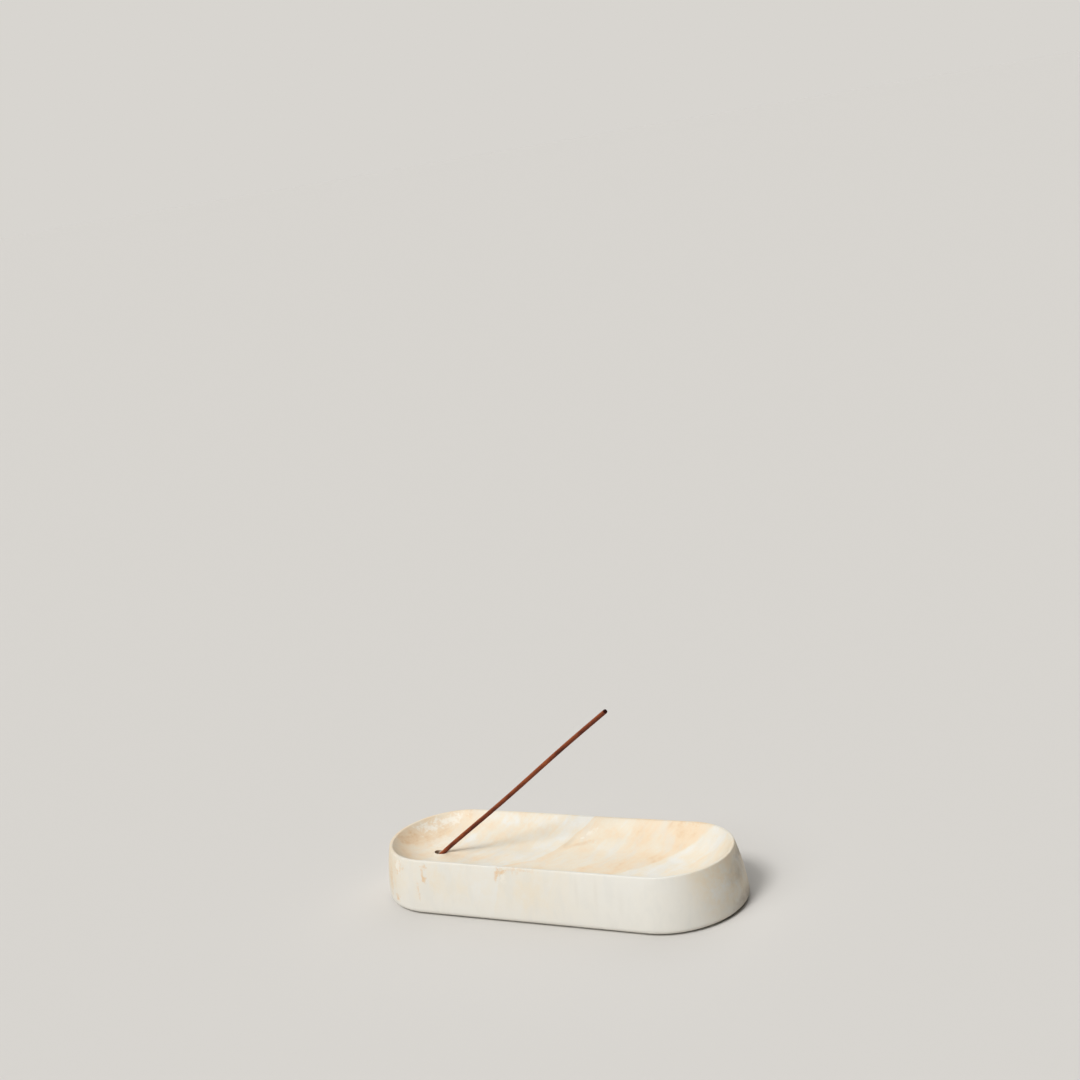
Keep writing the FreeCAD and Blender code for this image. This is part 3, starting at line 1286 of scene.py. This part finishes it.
@dataclass(frozen=True)
class StickFit:
    """The stick's sizes, and how it lies in the socket."""

    length: float = 132.0 * MM
    radius: float = 1.0 * MM
    char_length: float = 0.8 * MM
    char_shrink: float = 0.02 * MM      # off the radius
    low_gap: float = 0.2 * MM           # to the low side of the socket
    end_gap: float = 0.1 * MM           # to its bottom

    def rods(self, tray: Tray) -> tuple[Rod, Rod]:
        """Lay the stick in the tray's socket.

        Args:
            tray: the tray.

        Returns:
            The stretch of paste and the burnt stretch.
        """
        hole, axis = tray.socket, tray.socket.axis()
        bottom = tray.mouth - axis * hole.depth
        aside = hole.radius - self.radius - self.low_gap
        foot = bottom + hole.low_side() * aside + axis * self.end_gap
        burnt_from = self.length - self.char_length
        return (
            Rod(foot, axis, self.radius, 0.0, burnt_from),
            Rod(foot, axis, self.radius - self.char_shrink, burnt_from, self.length),
        )


@dataclass
class IncenseStick:
    """The pressed stick, from the bottom of the socket to where it is burnt."""

    rod: Rod
    foot_round: float = 0.2 * MM
    rough: float = 0.05 * MM
    grain: float = 1.1 * MM
    finish: IncensePaste = field(default_factory=IncensePaste)

    def build(self) -> Object:
        """Build and dress the stick.

        Returns:
            The stick's object.
        """
        draft = MeshDraft()
        rod = self.rod
        rings = []
        for angle in spread(-90, 0, 4):
            turn = math.radians(angle)
            along = rod.first + self.foot_round * (1 + math.sin(turn))
            radius = rod.radius - self.foot_round * (1 - math.cos(turn))
            rings.append(draft.ring(rod.ring_points(along, radius, self.rough, self.grain)))
        count = round((rod.last - rod.first) / rod.ring_step)
        for along in spread(rod.first + self.foot_round, rod.last, count)[1:]:
            rings.append(draft.ring(rod.ring_points(along, rod.radius, self.rough, self.grain)))
        for near, far in zip(rings, rings[1:]):
            draft.bridge(near, far)
        draft.close(rings[0][::-1], rod.centre(rod.first))
        draft.close(rings[-1], rod.centre(rod.last))
        made = draft.to_object("incense", 50)
        made.data.materials.append(self.finish.material())
        return made


@dataclass
class CharredTip:
    """The burnt free end: a thin, cracked, slightly shrunken collar and a pitted, blunt end face."""

    rod: Rod
    end_round: float = 0.32 * MM
    rough: float = 0.12 * MM
    grain: float = 0.5 * MM
    finish: Char = field(default_factory=Char)

    def build(self) -> Object:
        """Build and dress the tip.

        Returns:
            The tip's object.
        """
        draft = MeshDraft()
        rod = self.rod
        rings = []
        for along in spread(rod.first, rod.last - self.end_round, 6)[:-1]:
            rings.append(draft.ring(rod.ring_points(along, rod.radius, self.rough, self.grain)))
        for angle in spread(0, 90, 6):
            turn = math.radians(angle)
            along = rod.last - self.end_round * (1 - math.sin(turn))
            radius = rod.radius - self.end_round * (1 - math.cos(turn))
            rings.append(draft.ring(rod.ring_points(along, radius, self.rough, self.grain)))
        face_radius = rod.radius - self.end_round
        for share in (0.8, 0.55, 0.3):
            ring = rod.ring_points(rod.last, face_radius * share, self.rough, self.grain)
            depths = [self.rough * (0.5 + 0.5 * noise.noise(point / self.grain)) for point in ring]
            rings.append(draft.ring([p - rod.axis * depth for p, depth in zip(ring, depths)]))
        for near, far in zip(rings, rings[1:]):
            draft.bridge(near, far)
        draft.close(rings[0][::-1], rod.centre(rod.first))
        draft.close(rings[-1], rod.centre(rod.last - self.rough / 2))
        made = draft.to_object("char", 60)
        made.data.materials.append(self.finish.material())
        return made


# ---- The feet ----


@dataclass
class FootPad:
    """One anti-slip foot: a moulded disc with a rounded lower edge and a shallow cup underneath."""

    low: Vector                         # corners of the CAD foot's box
    high: Vector
    top_bevel: float = 0.1 * MM
    edge_round: float = 0.45 * MM
    cup_radius: float = 2.6 * MM
    cup_depth: float = 0.18 * MM
    sides: int = 48

    def build(self, name: str, material: Material) -> Object:
        """Build and dress the foot.

        Args:
            name: the piece's name.
            material: the silicone's material.

        Returns:
            The foot's object.
        """
        centre = (self.low + self.high) / 2
        radius = (self.high.x - self.low.x) / 2
        top, bevel = self.high.z, self.top_bevel
        section = [(3 * bevel, top), (radius - bevel, top), (radius, top - bevel)]
        for angle in spread(0, 90, 6):
            turn = math.radians(angle)
            reach = radius - self.edge_round * (1 - math.cos(turn))
            section.append((reach, self.low.z + self.edge_round * (1 - math.sin(turn))))
        for share in spread(0, 1, 5):
            lift = self.cup_depth * smooth_step(share, 0, 1)
            section.append((self.cup_radius * (1.25 - share), self.low.z + lift))
        draft = MeshDraft()
        rings = []
        for reach, z in section:
            rings.append(draft.ring(circle_points(Vector((centre.x, centre.y, z)), reach, self.sides)))
        for upper, lower in zip(rings, rings[1:]):
            draft.bridge(lower, upper)
        draft.close(rings[0], Vector((centre.x, centre.y, section[0][1])))
        draft.close(rings[-1][::-1], Vector((centre.x, centre.y, section[-1][1])))
        made = draft.to_object(name, 50)
        made.data.materials.append(material)
        return made


# ---- The studio ----


@dataclass(frozen=True)
class SunLamp:
    """A distant lamp: the direction towards it, its strength and how wide it looks from the object."""

    name: str
    toward: tuple[float, float, float]
    strength: float
    width_degrees: float

    def hang(self) -> None:
        """Add the lamp to the scene."""
        data = bpy.data.lights.new(self.name, "SUN")
        data.energy = self.strength
        data.angle = math.radians(self.width_degrees)
        lamp = add_object(self.name, data)
        lamp.rotation_euler = Vector(self.toward).to_track_quat("Z", "Y").to_euler()


@dataclass
class Studio:
    """A plain pale floor, a key light in front with a wide glow, a wide one behind, and the camera."""

    background: str = "d8d5d0"
    floor_colour: str = "d4d1cc"
    floor_size: float = 60.0
    key: SunLamp = SunLamp("key", (-0.2, -0.78, 1.0), 1.55, 18.0)
    key_glow: SunLamp = SunLamp("key_glow", (-0.2, -0.78, 1.0), 1.57, 60.0)
    rear: SunLamp = SunLamp("rear", (-0.05, 0.8, 1.0), 1.03, 60.0)
    fill_strength: float = 0.01
    azimuth_degrees: float = 31.694
    elevation_degrees: float = 13.263
    roll_degrees: float = -10.18
    distance: float = 0.74286
    lens_mm: float = 57.43
    aim_right: float = -0.00845         # the camera looks past the tray, so that it stands low in view
    aim_up: float = 0.14067

    def build(self, middle: Vector) -> None:
        """Set the floor, the lights and the camera.

        Args:
            middle: the middle of the tray.
        """
        self._floor()
        self.key.hang()
        self.key_glow.hang()
        self.rear.hang()
        self._surroundings()
        self._camera(middle)
        bpy.context.scene.view_settings.view_transform = "Standard"

    def _floor(self) -> None:
        """Lay a floor that runs to the horizon and meets the background without a line."""
        half = self.floor_size / 2
        mesh = bpy.data.meshes.new("floor")
        corners = [(-half, -half, 0), (half, -half, 0), (half, half, 0), (-half, half, 0)]
        mesh.from_pydata(corners, [], [(0, 1, 2, 3)])
        floor = add_object("floor", mesh)
        made, tree, shader = new_material("studio_floor_matt_paper")
        paper = {"Base Color": linear(self.floor_colour), "Roughness": 1.0, "Specular IOR Level": 0.0}
        set_inputs(tree, shader, paper)
        mesh.materials.append(made)

    def _surroundings(self) -> None:
        """Let the surroundings give a faint even fill, and show as the plain background."""
        world = bpy.data.worlds.new("studio")
        world.use_nodes = True
        tree = world.node_tree
        fill = tree.nodes["Background"]
        fill.inputs["Color"].default_value = (1.0, 1.0, 1.0, 1.0)
        fill.inputs["Strength"].default_value = self.fill_strength
        seen = add_node(tree, "Background", {"Color": linear(self.background), "Strength": 1.0})
        rays = add_node(tree, "LightPath")
        mixed = add_node(
            tree, "MixShader", {0: rays.outputs["Is Camera Ray"], 1: fill.outputs[0], 2: seen.outputs[0]}
        )
        tree.links.new(mixed.outputs[0], tree.nodes["World Output"].inputs["Surface"])
        bpy.context.scene.world = world

    def _camera(self, middle: Vector) -> None:
        """Place the camera, with the roll that makes the tray lean in view.

        Args:
            middle: the middle of the tray.
        """
        turn, tilt = math.radians(self.azimuth_degrees), math.radians(self.elevation_degrees)
        roll = math.radians(self.roll_degrees)
        back = Vector((math.sin(turn) * math.cos(tilt), -math.cos(turn) * math.cos(tilt), math.sin(tilt)))
        level = Vector((math.cos(turn), math.sin(turn), 0))
        upright = back.cross(level)
        right = level * math.cos(roll) + upright * math.sin(roll)
        up = upright * math.cos(roll) - level * math.sin(roll)
        data = bpy.data.cameras.new("camera")
        data.sensor_width = 36.0
        data.lens = self.lens_mm
        data.clip_start = 0.01
        data.clip_end = 200.0
        camera = add_object("camera", data)
        place = middle + back * self.distance + right * self.aim_right + up * self.aim_up
        turned = Matrix((right, up, back)).transposed().to_4x4()
        camera.matrix_world = Matrix.Translation(place) @ turned
        bpy.context.scene.camera = camera


# ---- Putting it together ----


class Body(Enum):
    """The moving bodies of the part."""

    TRAY = "tray"
    STICK = "stick"


def place_piece(piece: Object, body: Body, slot: str, *nodes: str) -> None:
    """Let a piece stand for its CAD nodes and move with their body.

    Args:
        piece: the finished piece.
        body: the body that it rides on.
        slot: not used.
        nodes: the CAD nodes that it replaces.
    """
    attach(piece, body.value)
    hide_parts(*nodes)
    LOG.info("%s: %d faces, on %s", piece.name, len(piece.data.polygons), body.value)


def main() -> None:
    """Build the tray, the stick, its burnt tip, the feet and the studio."""
    logging.basicConfig(level=logging.INFO, format="%(name)s: %(message)s")
    noise.seed_set(UNEVEN_SEED)
    feet = [name for name in sorted(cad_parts) if name.startswith("foot_")]
    boxes = {name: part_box(name) for name in feet}

    tray = Tray(*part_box("tray_body"))
    centres = [(low + high) / 2 for low, high in boxes.values()]
    place_piece(tray.build(centres), Body.TRAY, "marbled_cast_tray", "tray_body")

    paste, burnt = StickFit().rods(tray)
    place_piece(IncenseStick(paste).build(), Body.STICK, "incense_paste", "incense_stick")
    place_piece(CharredTip(burnt).build(), Body.STICK, "char", "charred_tip")

    silicone = SiliconePad().material()
    for name in feet:
        pad = FootPad(*boxes[name]).build(name.replace("foot", "pad"), silicone)
        place_piece(pad, Body.TRAY, "foot_pad", name)

    Studio().build(Vector((0, 0, (tray.low.z + tray.high.z) / 2)))


if __name__ == "__main__":
    main()
